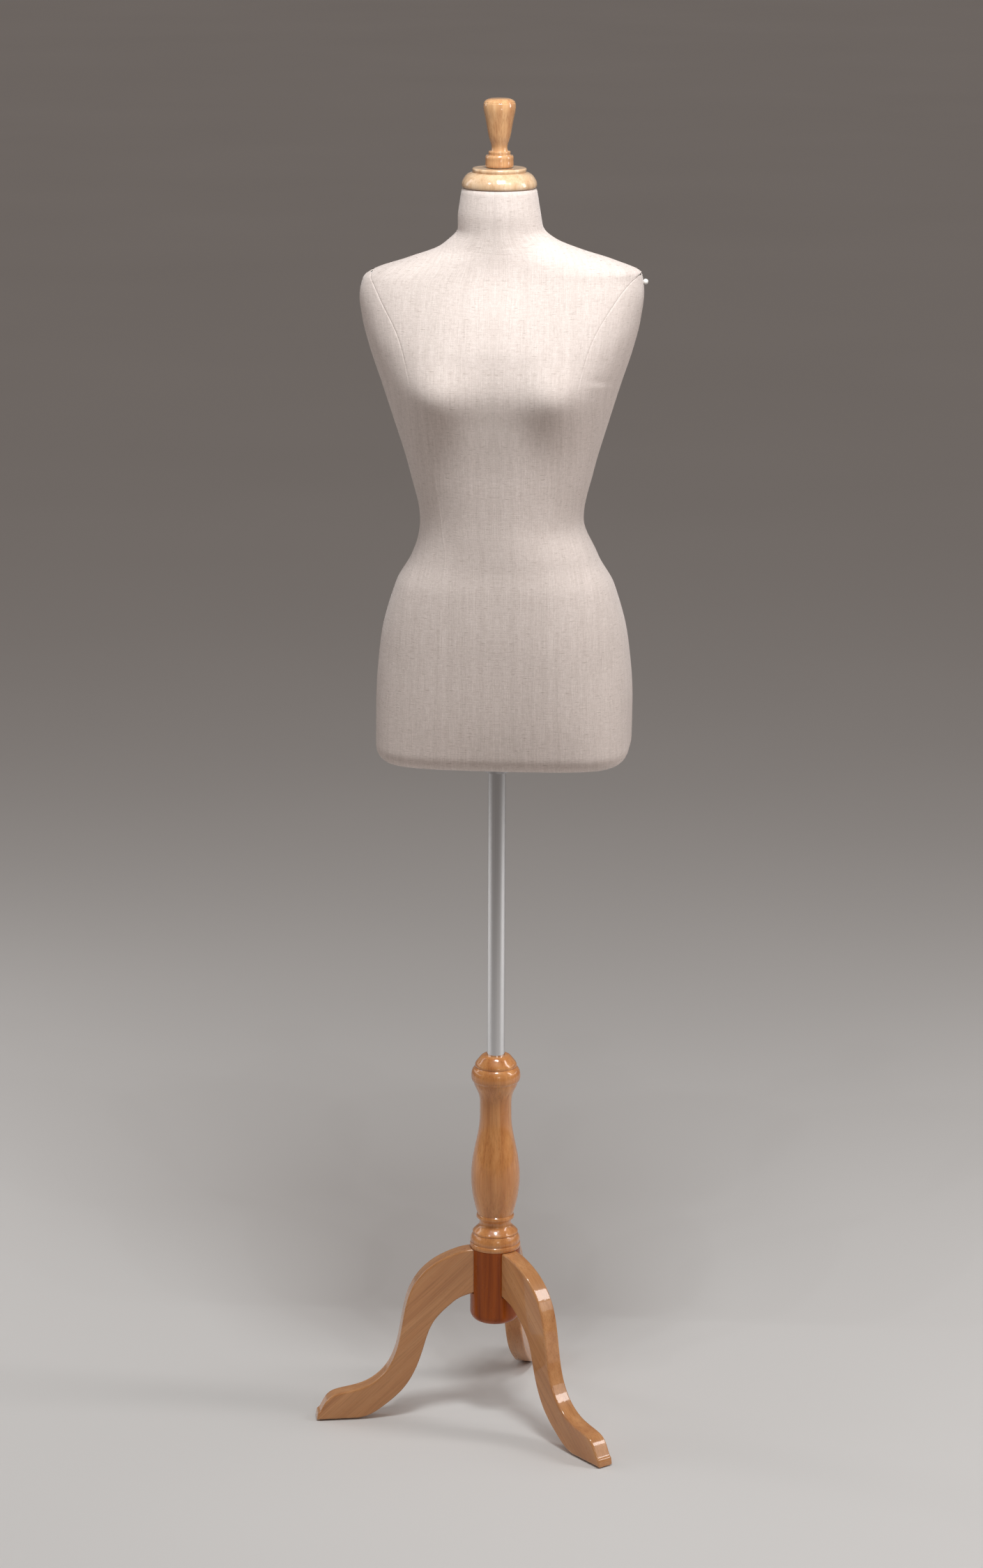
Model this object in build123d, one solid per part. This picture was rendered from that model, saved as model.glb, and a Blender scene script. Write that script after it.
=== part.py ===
from build123d import *
import math
import os

os.makedirs("parts", exist_ok=True)

# Dress form: a linen-covered torso on a chrome pole, in a turned wooden column with three legs.
# Millimetres. The origin is on the pole's axis at the floor, +Z is up and the torso faces -Y.

# Heights of the main planes
TOTAL_HEIGHT = 1800.0
CAP_TOP = 1711.0
NECK_TOP = 1684.0
HEM = 929.0
COLUMN_TOP = 516.0
HUB_TOP = 242.0
HUB_BOTTOM = 136.0

# Stand
POLE_RADIUS = 12.0
POLE_WALL = 1.2
POLE_TOP = 1060.0
POLE_FOOT = 170.0
POLE_BORE = POLE_RADIUS + 0.1
HUB_RADIUS = 34.0
HUB_EDGE = 13.0
LEG_SEAT = 31.0
LEG_THICKNESS = 24.0
LEG_EDGE = 2.5
LEG_TOP = HUB_TOP - 1.0
LEG_ROOT = 178.0
LEG_CLEARANCE = 1.0
LEG_ANGLES = {"back": 81.0, "right": 192.0, "left": 312.0}
FOOT_RADIUS = 247.0
# The leg's outline, from the hub to the toe over its back and from the sole to the hub along its belly
LEG_BACK = (
    (LEG_SEAT, LEG_TOP),
    (57.0, 236.0),
    (90.0, 219.0),
    (115.0, 189.0),
    (127.0, 149.0),
    (136.0, 102.0),
    (151.0, 70.0),
    (181.0, 47.5),
    (212.0, 40.0),
    (232.0, 30.5),
    (243.0, 13.0),
    (FOOT_RADIUS, 2.0),
)
LEG_BELLY = (
    (190.0, 2.0),
    (155.0, 18.0),
    (128.0, 42.0),
    (109.0, 74.0),
    (98.0, 107.0),
    (85.0, 139.0),
    (62.0, 163.0),
    (LEG_SEAT, LEG_ROOT),
)
GLIDE_PLACE = 222.0
GLIDE_RADIUS = 9.0
GLIDE_THICKNESS = 2.0
DOWEL_RADIUS = 4.0
DOWEL_HEIGHTS = (194.0, 224.0)
DOWEL_INNER = 19.0
DOWEL_LENGTH = 30.0
DRAW_BOLT_RADIUS = 5.0
DRAW_WASHER_RADIUS = 13.0
DRAW_WASHER_THICKNESS = 2.0
DRAW_RECESS = 15.0
BOLT_HEAD = 6.4
BOLT_HEAD_RADIUS = 9.2
INSERT_LENGTH = 30.0
PLUG_DEPTH = 18.0
PLUG_HEAD = 2.0

# The turned column's side from foot to top, as radii and heights, in runs that meet at sharp corners
COLUMN_SIDE = (
    ((34.0, HUB_TOP), (34.7, 245.0), (34.0, 248.0)),
    ((34.0, 248.0), (33.2, 248.8)),
    ((33.2, 248.8), (33.9, 252.0), (33.0, 257.0), (31.0, 261.0)),
    ((31.0, 261.0), (30.2, 262.0)),
    ((30.2, 262.0), (30.9, 264.0), (28.6, 267.0), (24.5, 271.0), (21.8, 275.0), (21.5, 277.5)),
    ((21.5, 277.5), (22.3, 281.0), (24.0, 283.5)),
    ((24.0, 283.5), (25.6, 284.3), (25.9, 286.5), (25.2, 288.6)),
    ((25.2, 288.6), (24.4, 289.4)),
    ((24.4, 289.4), (28.0, 302.0), (32.4, 326.0), (33.3, 346.0), (31.0, 370.0), (24.7, 402.0))
    + ((22.0, 420.0), (21.5, 440.0), (22.4, 457.0), (25.4, 466.0), (29.4, 475.0), (30.0, 478.0)),
    ((30.0, 478.0), (33.0, 482.0), (33.5, 487.0), (32.2, 494.0), (29.0, 498.6)),
    ((29.0, 498.6), (27.8, 499.6)),
    ((27.8, 499.6), (28.3, 502.0), (26.6, 506.0), (22.6, 511.0), (19.5, 514.5), (14.5, COLUMN_TOP)),
)

# Socket and bush that carry the torso on the pole
BUSH_BORE = POLE_RADIUS + 0.05
BUSH_RADIUS = 13.5
BUSH_LIP_RADIUS = 15.5
BUSH_SLIT = 2.0
SOCKET_BORE = BUSH_RADIUS + 0.05
SOCKET_RADIUS = 16.5
SOCKET_FOOT = 911.0
SOCKET_TOP = 1018.0
PLATE_RADIUS = 44.0
PLATE_THICKNESS = 3.0
PLATE_SCREW_CIRCLE = 33.0
PLATE_HOLE_RADIUS = 2.2
PLATE_SCREW_RADIUS = 1.9
PLATE_SCREW_LENGTH = 11.0
PLATE_SCREW_HEAD = 2.2
PLATE_SCREW_TURNS = (45, 135, 225, 315)
CLAMP_HEIGHT = 920.0
CLAMP_BOSS_RADIUS = 7.0
CLAMP_BOSS_END = 26.0
CLAMP_SCREW_RADIUS = 3.0
CLAMP_PAD_FACE = BUSH_RADIUS + 0.1
CLAMP_PAD_END = 17.0
KNOB_START = 34.0
KNOB_END = 47.0
KNOB_RADIUS = 8.2
KNOB_FLUTE_RADIUS = 2.4
KNOB_EDGE = 1.5
FIT = 0.05

# Torso layers, from the outside in
LINEN = 1.2
WADDING = 3.0
SHELL = 4.0
HEM_EDGE = 22.0
MIDDLE = 1306.5
HALF_TALL = 377.5
# Height, half width, depth in front of and behind the pole's axis, squareness of the section
TORSO = (
    (929, 167.5, 93, 112, 4.2),
    (1012, 168.7, 98, 123, 3.1),
    (1088, 163.0, 97, 117, 2.6),
    (1163, 143.6, 92, 94, 2.4),
    (1201, 122.5, 88, 83, 2.3),
    (1250, 107.0, 87, 78, 2.2),
    (1312, 119.8, 92, 84, 2.2),
    (1386, 142.0, 104, 94, 2.2),
    (1432, 156.6, 112, 100, 2.2),
    (1477, 171.8, 104, 104, 2.2),
    (1514, 181.2, 88, 104, 2.2),
    (1550, 185.6, 69, 99, 2.2),
    (1575, 182.5, 58, 91, 2.1),
    (1590, 151.0, 54, 84, 2.1),
    (1604, 107.0, 52, 77, 2.0),
    (1618, 73.0, 50.5, 68, 2.0),
    (1633, 57.0, 50, 59, 2.0),
    (1654, 53.0, 51, 53, 2.0),
    (1684, 48.5, 48.5, 48.5, 2.0),
)
# Depth of the widest line behind the pole's axis, which is also where the side seams run
WIDEST = ((929, 25.0), (1560, 25.0), (1618, 9.0), (1640, 0.0), (1684, 0.0))
# Distance by which the middle of the torso stands to the left of the pole's axis: the form leans a little
LEAN = ((929, 8.0), (1150, 7.4), (1205, 7.4), (1250, 3.2), (1320, 2.8), (1480, 1.4), (1600, 0.3), (1684, 0.0))
# How much narrower the right shoulder is, because it slopes down more than the left
RIGHT_SLOPE = (
    (929, 0.0),
    (1530, 0.0),
    (1566, 5.0),
    (1580, 22.0),
    (1590, 28.0),
    (1604, 22.0),
    (1618, 8.0),
    (1660, 0.0),
    (1684, 0.0),
)
BUST_HEIGHT = 1424.0
BUST_SPREAD = 84.0
BUST_DEPTH = 24.0
BUST_WIDTH = 40.0
BUST_TALL = 46.0
# Height and distance from the centre line of the four long seams between the panels
LONG_SEAM = (
    (900, 85.0),
    (1012, 80.0),
    (1155, 73.5),
    (1222, 69.6),
    (1310, 78.0),
    (1410, 101.0),
    (1490, 122.0),
    (1540, 150.0),
    (1570, 175.0),
    (1582, 200.0),
)
SEAM_SHARE = 0.94
SHOULDER_TIP = 1566.0
NECK_SEAM = 1618.0
NECK_BLOCK_FOOT = 1654.0
# Grid of the layers: heights of its rings, and facets between the seams on each quarter of a ring
LEVELS = (
    (HEM, HEM + 2.8, HEM + 9.5, HEM + HEM_EDGE, 1012.0, 1088.0, 1163.0, 1201.0, 1250.0, 1312.0)
    + (1344.0, 1368.0, 1396.0, 1424.0, 1452.0, 1480.0, 1510.0, 1545.0, SHOULDER_TIP, 1578.0, 1590.0, 1604.0)
    + (NECK_SEAM, 1633.0, NECK_BLOCK_FOOT, NECK_TOP)
)
ACROSS_CENTRE = 3
ACROSS_SIDE = 2

# Neck fittings
NECK_SPIGOT_FOOT = 1622.0
NECK_SPIGOT_RADIUS = 38.0
INSERT_RADIUS = 6.5
INSERT_FOOT = 1658.0
STUD_RADIUS = 4.0
STUD_FOOT = 1664.0
STUD_TOP = 1746.0
STUD_PLAY = 0.3
WASHER_RADIUS = 16.0
WASHER_THICKNESS = 1.0
FINIAL_FOOT = CAP_TOP + WASHER_THICKNESS
# The cap's and the finial's sides from foot to top, as radii and heights
CAP_SIDE = (
    ((45.5, NECK_TOP - LINEN), (45.5, 1686.0)),
    ((45.5, 1686.0), (47.6, 1686.2), (48.5, 1692.0), (46.4, 1697.0))
    + ((42.5, 1702.0), (37.0, 1705.0), (34.0, 1705.6)),
    ((34.0, 1705.6), (35.0, 1707.5), (34.8, 1710.0), (33.2, CAP_TOP)),
)
FINIAL_SIDE = (
    ((17.3, FINIAL_FOOT), (18.3, 1714.5), (18.2, 1720.0), (18.3, 1724.5), (17.2, 1727.0)),
    ((17.2, 1727.0), (14.2, 1727.6), (14.3, 1730.6), (11.2, 1732.6)),
    ((11.2, 1732.6), (10.3, 1737.0), (12.9, 1747.0), (16.0, 1761.0))
    + ((18.8, 1776.0), (20.9, 1788.0), (20.6, 1793.4)),
    ((20.6, 1793.4), (20.0, 1794.2), (19.9, 1795.2)),
    ((19.9, 1795.2), (16.5, 1798.0), (9.0, 1799.7), (2.0, TOTAL_HEIGHT)),
)
PIN_HEAD_RADIUS = 3.5
PIN_HEIGHT = 1563.0
PIN_LEAN = (1.0, -0.1, 0.25)
PIN_GAP = 0.1


def smooth(table, height, column):
    """A column's value at a height, on a monotone cubic through the table's rows."""
    heights = [row[0] for row in table]
    values = [row[column] for row in table]
    slopes = [
        (values[i + 1] - values[i]) / (heights[i + 1] - heights[i])
        for i in range(len(table) - 1)
    ]
    tangents = [slopes[0]]
    for before, after in zip(slopes, slopes[1:]):
        product = before * after
        tangents.append(2 * product / (before + after) if product > 0 else 0.0)
    tangents.append(slopes[-1])
    place = max(heights[0], min(heights[-1], height))
    i = max(k for k in range(len(table) - 1) if heights[k] <= place)
    span = heights[i + 1] - heights[i]
    t = (place - heights[i]) / span
    return (
        (2 * t**3 - 3 * t**2 + 1) * values[i]
        + (t**3 - 2 * t**2 + t) * span * tangents[i]
        + (3 * t**2 - 2 * t**3) * values[i + 1]
        + (t**3 - t**2) * span * tangents[i + 1]
    )


def hem_rounding(height):
    """How far the hem's rounded lower edge draws the section in."""
    up = height - HEM
    if up >= HEM_EDGE:
        return 0.0
    return HEM_EDGE - math.sqrt(HEM_EDGE**2 - (HEM_EDGE - up) ** 2)


def bust(x, height):
    across = (abs(x) - BUST_SPREAD) / BUST_WIDTH
    up = (height - BUST_HEIGHT) / BUST_TALL
    return BUST_DEPTH * math.exp(-(across**2) - up**2)


def torso_point(height, turn, inset):
    """A point of the torso's skin, drawn in by the layers outside it."""
    drawn_in = inset + hem_rounding(height)
    widest = smooth(WIDEST, height, 1)
    power = 2 / smooth(TORSO, height, 4)
    x = (smooth(TORSO, height, 1) - drawn_in) * math.copysign(abs(math.cos(turn)) ** power, math.cos(turn))
    front = math.sin(turn) < 0
    reach = smooth(TORSO, height, 2) + widest if front else smooth(TORSO, height, 3) - widest
    depth = (reach - drawn_in) * abs(math.sin(turn)) ** power
    y = widest - depth - bust(x, height) * abs(math.sin(turn)) if front else widest + depth
    if x < 0:
        x *= 1 - smooth(RIGHT_SLOPE, height, 1) / smooth(TORSO, height, 1)
    return Vector(x + smooth(LEAN, height, 1), y, MIDDLE + (height - MIDDLE) * (1 - inset / HALF_TALL))


def turn_at(height, x):
    """The turn at which the section reaches a distance from the centre line."""
    half_width = smooth(TORSO, height, 1) - hem_rounding(height)
    share = max(0.0, min(1.0, x / half_width))
    return math.acos(share ** (smooth(TORSO, height, 4) / 2))


def spread(start, end, count):
    return [start + (end - start) * i / count for i in range(count)]


def ring(height, inset):
    """One section's corners, from the front centre round the left side, the back and the right side."""
    half_width = smooth(TORSO, height, 1) - hem_rounding(height)
    seam = turn_at(height, min(smooth(LONG_SEAM, height, 1), SEAM_SHARE * half_width))
    quarter = spread(math.pi / 2, seam, ACROSS_CENTRE) + spread(seam, 0, ACROSS_SIDE)
    front = [-turn for turn in quarter]
    back = [0.0] + quarter[:0:-1]
    left = front + back
    right = [math.pi - turn for turn in [math.pi / 2] + back[:0:-1] + [0.0] + front[:0:-1]]
    return [torso_point(height, turn, inset) for turn in left + right]


def facet_solid(triangles):
    faces = [Face(Wire.make_polygon(corners, close=True)) for corners in triangles]
    return Solid(Shell(faces))


def cell_triangles(row, column, count):
    """Two triangles of a grid cell as grid places, mirrored between the left and right halves."""
    after = (column + 1) % count
    corners = [(row, column), (row, after), (row + 1, after), (row + 1, column)]
    if column >= count / 2:
        corners = corners[1:] + corners[:1]
    a, b, c, d = corners
    return [(a, b, c), (a, c, d)]


def layer_piece(outer, inner, cells):
    """A closed piece between two skins over a set of cells of their shared grid."""
    count = len(outer[0])
    triangles = []
    for row, column in cells:
        for places in cell_triangles(row, column, count):
            triangles.append([outer[i][j] for i, j in places])
            triangles.append([inner[i][j] for i, j in reversed(places)])
        before, after = (column - 1) % count, (column + 1) % count
        right = column >= count / 2
        for neighbour, start, end, swapped in (
            ((row - 1, column), (row, column), (row, after), not right),
            ((row, after), (row, after), (row + 1, after), True),
            ((row + 1, column), (row + 1, after), (row + 1, column), right),
            ((row, before), (row + 1, column), (row, column), False),
        ):
            if neighbour in cells:
                continue
            corners = [(outer, end), (outer, start), (inner, start), (inner, end)]
            if swapped:
                corners = corners[1:] + corners[:1]
            a, b, c, d = [skin[i][j] for skin, (i, j) in corners]
            triangles.extend([[a, b, c], [a, c, d]])
    return facet_solid(triangles)


def solid_piece(rings):
    """A closed piece filling a stack of rings."""
    count = len(rings[0])
    triangles = [list(rings[0]), list(rings[-1])]
    for row in range(len(rings) - 1):
        for column in range(count):
            for places in cell_triangles(row, column, count):
                triangles.append([rings[i][j] for i, j in places])
    return facet_solid(triangles)


def bored(solid, radius, low, high):
    return solid - Pos(0, 0, (low + high) / 2) * Cylinder(radius, high - low)


def turned_curve(foot, curve, top):
    """A turned solid whose side is a smooth curve between two flat ends."""
    side = []
    for run in curve:
        points = [(radius, 0, height) for radius, height in run]
        side.append(Spline(*points) if len(points) > 2 else Line(*points))
    start, end = curve[0][0], curve[-1][-1]
    lower = Polyline((end[0], 0, end[1]), (0, 0, top), (0, 0, foot), (start[0], 0, start[1]))
    return revolve(make_face(side + [lower]), Axis.Z)


def linen_panels(outer, inner):
    """The linen between the hem and the neck seam, in four panels on each side of the centre line."""
    quarter = ACROSS_CENTRE + ACROSS_SIDE
    tip, neck = LEVELS.index(SHOULDER_TIP), LEVELS.index(NECK_SEAM)
    panels = {}
    for face, hand, first, way in (
        ("front", "left", 0, 1),
        ("back", "left", 2 * quarter - 1, -1),
        ("back", "right", 2 * quarter, 1),
        ("front", "right", 4 * quarter - 1, -1),
    ):
        columns = [first + way * step for step in range(quarter)]
        centre = {(row, column) for row in range(tip) for column in columns[:ACROSS_CENTRE]}
        yoke = {(row, column) for row in range(tip, neck) for column in columns}
        side = {(row, column) for row in range(tip) for column in columns[ACROSS_CENTRE:]}
        panels[f"linen_{face}_centre_{hand}"] = layer_piece(outer, inner, centre | yoke)
        panels[f"linen_{face}_side_{hand}"] = layer_piece(outer, inner, side)
    return panels


def torso_layers():
    depths = {"skin": 0, "linen": LINEN, "wadding": LINEN + WADDING, "shell": LINEN + WADDING + SHELL}
    skins = {name: [ring(height, depth) for height in LEVELS] for name, depth in depths.items()}
    board_row = LEVELS.index(HEM + HEM_EDGE)
    neck_row = LEVELS.index(NECK_SEAM)
    block_row = LEVELS.index(NECK_BLOCK_FOOT)
    every_column = range(len(skins["skin"][0]))
    walls = {(row, column) for row in range(board_row, block_row) for column in every_column}
    band = {(row, column) for row in range(neck_row, len(LEVELS) - 1) for column in every_column}
    parts = linen_panels(skins["skin"], skins["linen"])
    parts["linen_neck_band"] = layer_piece(skins["skin"], skins["linen"], band)
    underside = solid_piece([skins["skin"][0], skins["linen"][0]])
    parts["linen_underside"] = bored(underside, SOCKET_RADIUS + 0.5, HEM - 5, HEM + 5)
    parts["wadding_layer"] = layer_piece(skins["linen"], skins["wadding"], walls)
    parts["body_shell"] = layer_piece(skins["wadding"], skins["shell"], walls)
    board = solid_piece(skins["linen"][: board_row + 1])
    board_top = board.bounding_box().max.Z
    parts["base_board"] = bored(board, SOCKET_RADIUS + FIT, HEM - 5, HEM + 50)
    block = solid_piece(skins["linen"][block_row:])
    block_foot = block.bounding_box().min.Z
    spigot_height = block_foot - NECK_SPIGOT_FOOT
    block += Pos(0, 0, block_foot - spigot_height / 2) * Cylinder(NECK_SPIGOT_RADIUS, spigot_height)
    parts["neck_block"] = bored(block, INSERT_RADIUS, NECK_SPIGOT_FOOT - 5, NECK_TOP + 5)
    return parts, board_top


def socket(board_top):
    """Steel plate on the board with a tube through it, and the boss of the clamp screw."""
    tube = Pos(0, 0, (SOCKET_FOOT + SOCKET_TOP) / 2) * Cylinder(SOCKET_RADIUS, SOCKET_TOP - SOCKET_FOOT)
    plate = Pos(0, 0, board_top + PLATE_THICKNESS / 2) * Cylinder(PLATE_RADIUS, PLATE_THICKNESS)
    boss = along_y(CLAMP_BOSS_RADIUS, BUSH_RADIUS + 1, CLAMP_BOSS_END)
    flange = bored(tube + plate + boss, SOCKET_BORE, SOCKET_FOOT - 5, SOCKET_TOP + 5)
    flange -= along_y(CLAMP_SCREW_RADIUS + FIT, 10, CLAMP_BOSS_END + 5)
    for turn in PLATE_SCREW_TURNS:
        place = Pos(*polar(PLATE_SCREW_CIRCLE, turn, board_top))
        flange -= place * Cylinder(PLATE_HOLE_RADIUS, 20)
    return flange


def polar(radius, turn, height):
    return (radius * math.cos(math.radians(turn)), radius * math.sin(math.radians(turn)), height)


def along_y(radius, start, end, height=CLAMP_HEIGHT):
    return Pos(0, (start + end) / 2, height) * Rot(90, 0, 0) * Cylinder(radius, end - start)


def socket_screws(board_top):
    """Slotted round-headed screws that hold the plate down on the board."""
    seat = board_top + PLATE_THICKNESS
    screws = []
    for turn in PLATE_SCREW_TURNS:
        x, y, _ = polar(PLATE_SCREW_CIRCLE, turn, 0)
        head = Pos(x, y, seat + PLATE_SCREW_HEAD / 2) * Cylinder(2 * PLATE_SCREW_RADIUS, PLATE_SCREW_HEAD)
        shank = Pos(x, y, seat - PLATE_SCREW_LENGTH / 2) * Cylinder(PLATE_SCREW_RADIUS, PLATE_SCREW_LENGTH)
        slot = Pos(x, y, seat + PLATE_SCREW_HEAD) * Box(4 * PLATE_SCREW_RADIUS, 0.8, 1.2)
        screws.append(head + shank - slot)
    return screws


def screw_holes(board, board_top):
    """The screws' pilot holes in the board."""
    depth = PLATE_SCREW_LENGTH - PLATE_THICKNESS
    for turn in PLATE_SCREW_TURNS:
        board -= Pos(*polar(PLATE_SCREW_CIRCLE, turn, board_top)) * Cylinder(PLATE_SCREW_RADIUS, 2 * depth)
    return board


def bush():
    low, high = SOCKET_FOOT + 1, SOCKET_TOP + 0.3
    sleeve = Pos(0, 0, (low + high) / 2) * Cylinder(BUSH_RADIUS, high - low)
    sleeve += Pos(0, 0, high + 1) * Cylinder(BUSH_LIP_RADIUS, 2)
    sleeve = bored(sleeve, BUSH_BORE, low - 5, high + 5)
    return sleeve - Pos(BUSH_RADIUS, 0, (low + high) / 2) * Box(2 * 8, BUSH_SLIT, 2 * (high - low))


def clamp():
    pad = along_y(CLAMP_SCREW_RADIUS - 0.3, CLAMP_PAD_FACE, CLAMP_PAD_END)
    screw = along_y(CLAMP_SCREW_RADIUS, CLAMP_PAD_END, KNOB_END - 3)
    knob = along_y(KNOB_RADIUS, KNOB_START, KNOB_END)
    knob = fillet(knob.edges(), KNOB_EDGE)
    for turn in range(0, 360, 60):
        x, z, _ = polar(KNOB_RADIUS + 1.2, turn, 0)
        knob -= Pos(x, 0, z) * along_y(KNOB_FLUTE_RADIUS, KNOB_START - 5, KNOB_END + 5)
    knob -= along_y(CLAMP_SCREW_RADIUS, KNOB_START - 1, KNOB_END - 3)
    return {"clamp_pad": pad, "clamp_screw": screw, "clamp_knob": knob}


def column():
    """Turned baluster: foot bead, neck, belly, ring and top bead."""
    turned = turned_curve(HUB_TOP, COLUMN_SIDE, COLUMN_TOP)
    return bored(turned, POLE_BORE, HUB_TOP - 5, COLUMN_TOP + 5)


def leg_frame(turn):
    return Rot(0, 0, turn)


def hub():
    body = Pos(0, 0, (HUB_TOP + HUB_BOTTOM) / 2) * Cylinder(HUB_RADIUS, HUB_TOP - HUB_BOTTOM)
    body = fillet(body.edges().group_by(Axis.Z)[0], HUB_EDGE)
    body = fillet(body.edges().group_by(Axis.Z)[-1], 1.2)
    body = bored(body, POLE_BORE, POLE_FOOT, HUB_TOP + 5)
    body = bored(body, DRAW_BOLT_RADIUS + 0.25, HUB_BOTTOM - 5, POLE_FOOT + 5)
    body = bored(body, DRAW_WASHER_RADIUS + 0.5, HUB_BOTTOM - 5, HUB_BOTTOM + DRAW_RECESS)
    for turn in LEG_ANGLES.values():
        low, high = LEG_ROOT - LEG_CLEARANCE, HUB_TOP + 5
        flat = Pos(LEG_SEAT + 10, 0, (low + high) / 2) * Box(20, 40, high - low)
        body -= leg_frame(turn) * flat
        for height in DOWEL_HEIGHTS:
            body -= leg_frame(turn) * dowel(height, DOWEL_RADIUS)
    return body


def dowel(height, radius):
    return Pos(DOWEL_INNER + DOWEL_LENGTH / 2, 0, height) * Rot(0, 90, 0) * Cylinder(radius, DOWEL_LENGTH)


def leg():
    """Curved plank leg, drawn out along +X from the hub's flat to the foot."""
    top = Spline(*[(x, 0, z) for x, z in LEG_BACK], tangents=((1, 0, 0), (0.1, 0, -1)))
    below = Spline(*[(x, 0, z) for x, z in LEG_BELLY], tangents=((-1, 0, 0.1), (-1, 0, 0.25)))
    sole = Line(top @ 1, below @ 0)
    seat = Line(below @ 1, top @ 0)
    outline = make_face([top, sole, below, seat])
    plank = extrude(outline, amount=LEG_THICKNESS / 2, dir=(0, 1, 0), both=True)
    on_side = [e for e in plank.edges() if abs(abs(e.center().Y) - LEG_THICKNESS / 2) < 0.01]
    curved = [e for e in on_side if e.length > 60 and e.center().X > LEG_SEAT + 10]
    plank = fillet(curved, LEG_EDGE)
    for height in DOWEL_HEIGHTS:
        plank -= dowel(height, DOWEL_RADIUS)
    return plank


def pole_parts():
    """The chrome tube, the plug in its top and the threaded insert in its foot."""
    tube = Pos(0, 0, (POLE_TOP + POLE_FOOT) / 2) * Cylinder(POLE_RADIUS, POLE_TOP - POLE_FOOT)
    bore = POLE_RADIUS - POLE_WALL
    plug = Pos(0, 0, POLE_TOP - PLUG_DEPTH / 2) * Cylinder(bore, PLUG_DEPTH)
    plug += Pos(0, 0, POLE_TOP + PLUG_HEAD / 2) * Cylinder(POLE_RADIUS, PLUG_HEAD)
    insert = Pos(0, 0, POLE_FOOT + INSERT_LENGTH / 2) * Cylinder(bore, INSERT_LENGTH)
    return {
        "pole": bored(tube, bore, POLE_FOOT - 5, POLE_TOP + 5),
        "pole_top_plug": fillet(plug.edges().group_by(Axis.Z)[-1], 1.2),
        "pole_foot_insert": bored(insert, DRAW_BOLT_RADIUS, POLE_FOOT - 5, POLE_FOOT + INSERT_LENGTH + 5),
    }


def draw_bolt():
    """The bolt and washer in the hub's underside that pull the pole down into it."""
    recess = HUB_BOTTOM + DRAW_RECESS
    seat = recess - DRAW_WASHER_THICKNESS
    washer = Pos(0, 0, (seat + recess) / 2) * Cylinder(DRAW_WASHER_RADIUS, DRAW_WASHER_THICKNESS)
    head = extrude(Pos(0, 0, seat - BOLT_HEAD) * RegularPolygon(BOLT_HEAD_RADIUS, 6), amount=BOLT_HEAD)
    shank_top = POLE_FOOT + INSERT_LENGTH - 5
    shank = Pos(0, 0, (seat + shank_top) / 2) * Cylinder(DRAW_BOLT_RADIUS, shank_top - seat)
    return {
        "draw_washer": bored(washer, DRAW_BOLT_RADIUS + 0.25, recess - 5, recess + 5),
        "draw_bolt": head + shank,
    }


def legs():
    """The three legs with their felt glides and the dowels that join them to the hub."""
    plank = leg()
    glide = Pos(GLIDE_PLACE, 0, GLIDE_THICKNESS / 2) * Cylinder(GLIDE_RADIUS, GLIDE_THICKNESS)
    glide = fillet(glide.edges().group_by(Axis.Z)[0], 0.5)
    parts = {}
    pegs = []
    for name, turn in LEG_ANGLES.items():
        parts[f"leg_{name}"] = leg_frame(turn) * plank
        parts[f"foot_glide_{name}"] = leg_frame(turn) * glide
        pegs += [leg_frame(turn) * dowel(height, DOWEL_RADIUS) for height in DOWEL_HEIGHTS]
    parts["leg_dowels"] = pegs
    return parts


def neck_fittings():
    """The wooden cap on the neck, the threaded insert below it and the felt washer on it."""
    foot = NECK_TOP - LINEN
    cap = turned_curve(foot, CAP_SIDE, CAP_TOP)
    insert = Pos(0, 0, (INSERT_FOOT + foot) / 2) * Cylinder(INSERT_RADIUS, foot - INSERT_FOOT)
    washer = Pos(0, 0, CAP_TOP + WASHER_THICKNESS / 2) * Cylinder(WASHER_RADIUS, WASHER_THICKNESS)
    return {
        "neck_cap": bored(cap, STUD_RADIUS + STUD_PLAY, foot - 5, CAP_TOP + 5),
        "neck_insert": bored(insert, STUD_RADIUS + FIT, INSERT_FOOT - 5, NECK_TOP + 5),
        "finial_washer": bored(washer, STUD_RADIUS + STUD_PLAY, CAP_TOP - 5, CAP_TOP + 5),
    }


def finial():
    """The turned finial and the threaded stud fixed in it."""
    knob = turned_curve(FINIAL_FOOT, FINIAL_SIDE, TOTAL_HEIGHT)
    knob = bored(knob, STUD_RADIUS, FINIAL_FOOT - 5, STUD_TOP)
    stud = Pos(0, 0, (STUD_FOOT + STUD_TOP) / 2) * Cylinder(STUD_RADIUS, STUD_TOP - STUD_FOOT)
    return {"finial": knob, "finial_stud": stud}


def shoulder_pin():
    """Head of the ball-headed pin pushed into the tip of the left shoulder."""
    skin = torso_point(PIN_HEIGHT, 0, 0)
    centre = skin + Vector(*PIN_LEAN).normalized() * (PIN_HEAD_RADIUS + PIN_GAP)
    return Pos(centre.X, centre.Y, centre.Z) * Sphere(PIN_HEAD_RADIUS)


def save(name, shape):
    solids = shape if isinstance(shape, list) else shape.solids()
    whole = solids[0] if len(solids) == 1 else Compound(children=list(solids))
    export_step(whole, f"parts/{name}.step")


def main():
    parts, board_top = torso_layers()
    parts["base_board"] = screw_holes(parts["base_board"], board_top)
    parts["socket_flange"] = socket(board_top)
    parts["socket_screws"] = socket_screws(board_top)
    parts["pole_bush"] = bush()
    parts["shoulder_pin"] = shoulder_pin()
    parts["column"] = column()
    parts["hub"] = hub()
    for group in (clamp(), pole_parts(), draw_bolt(), legs(), neck_fittings(), finial()):
        parts.update(group)
    for name, shape in parts.items():
        save(name, shape)


main()
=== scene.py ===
import math

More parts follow.
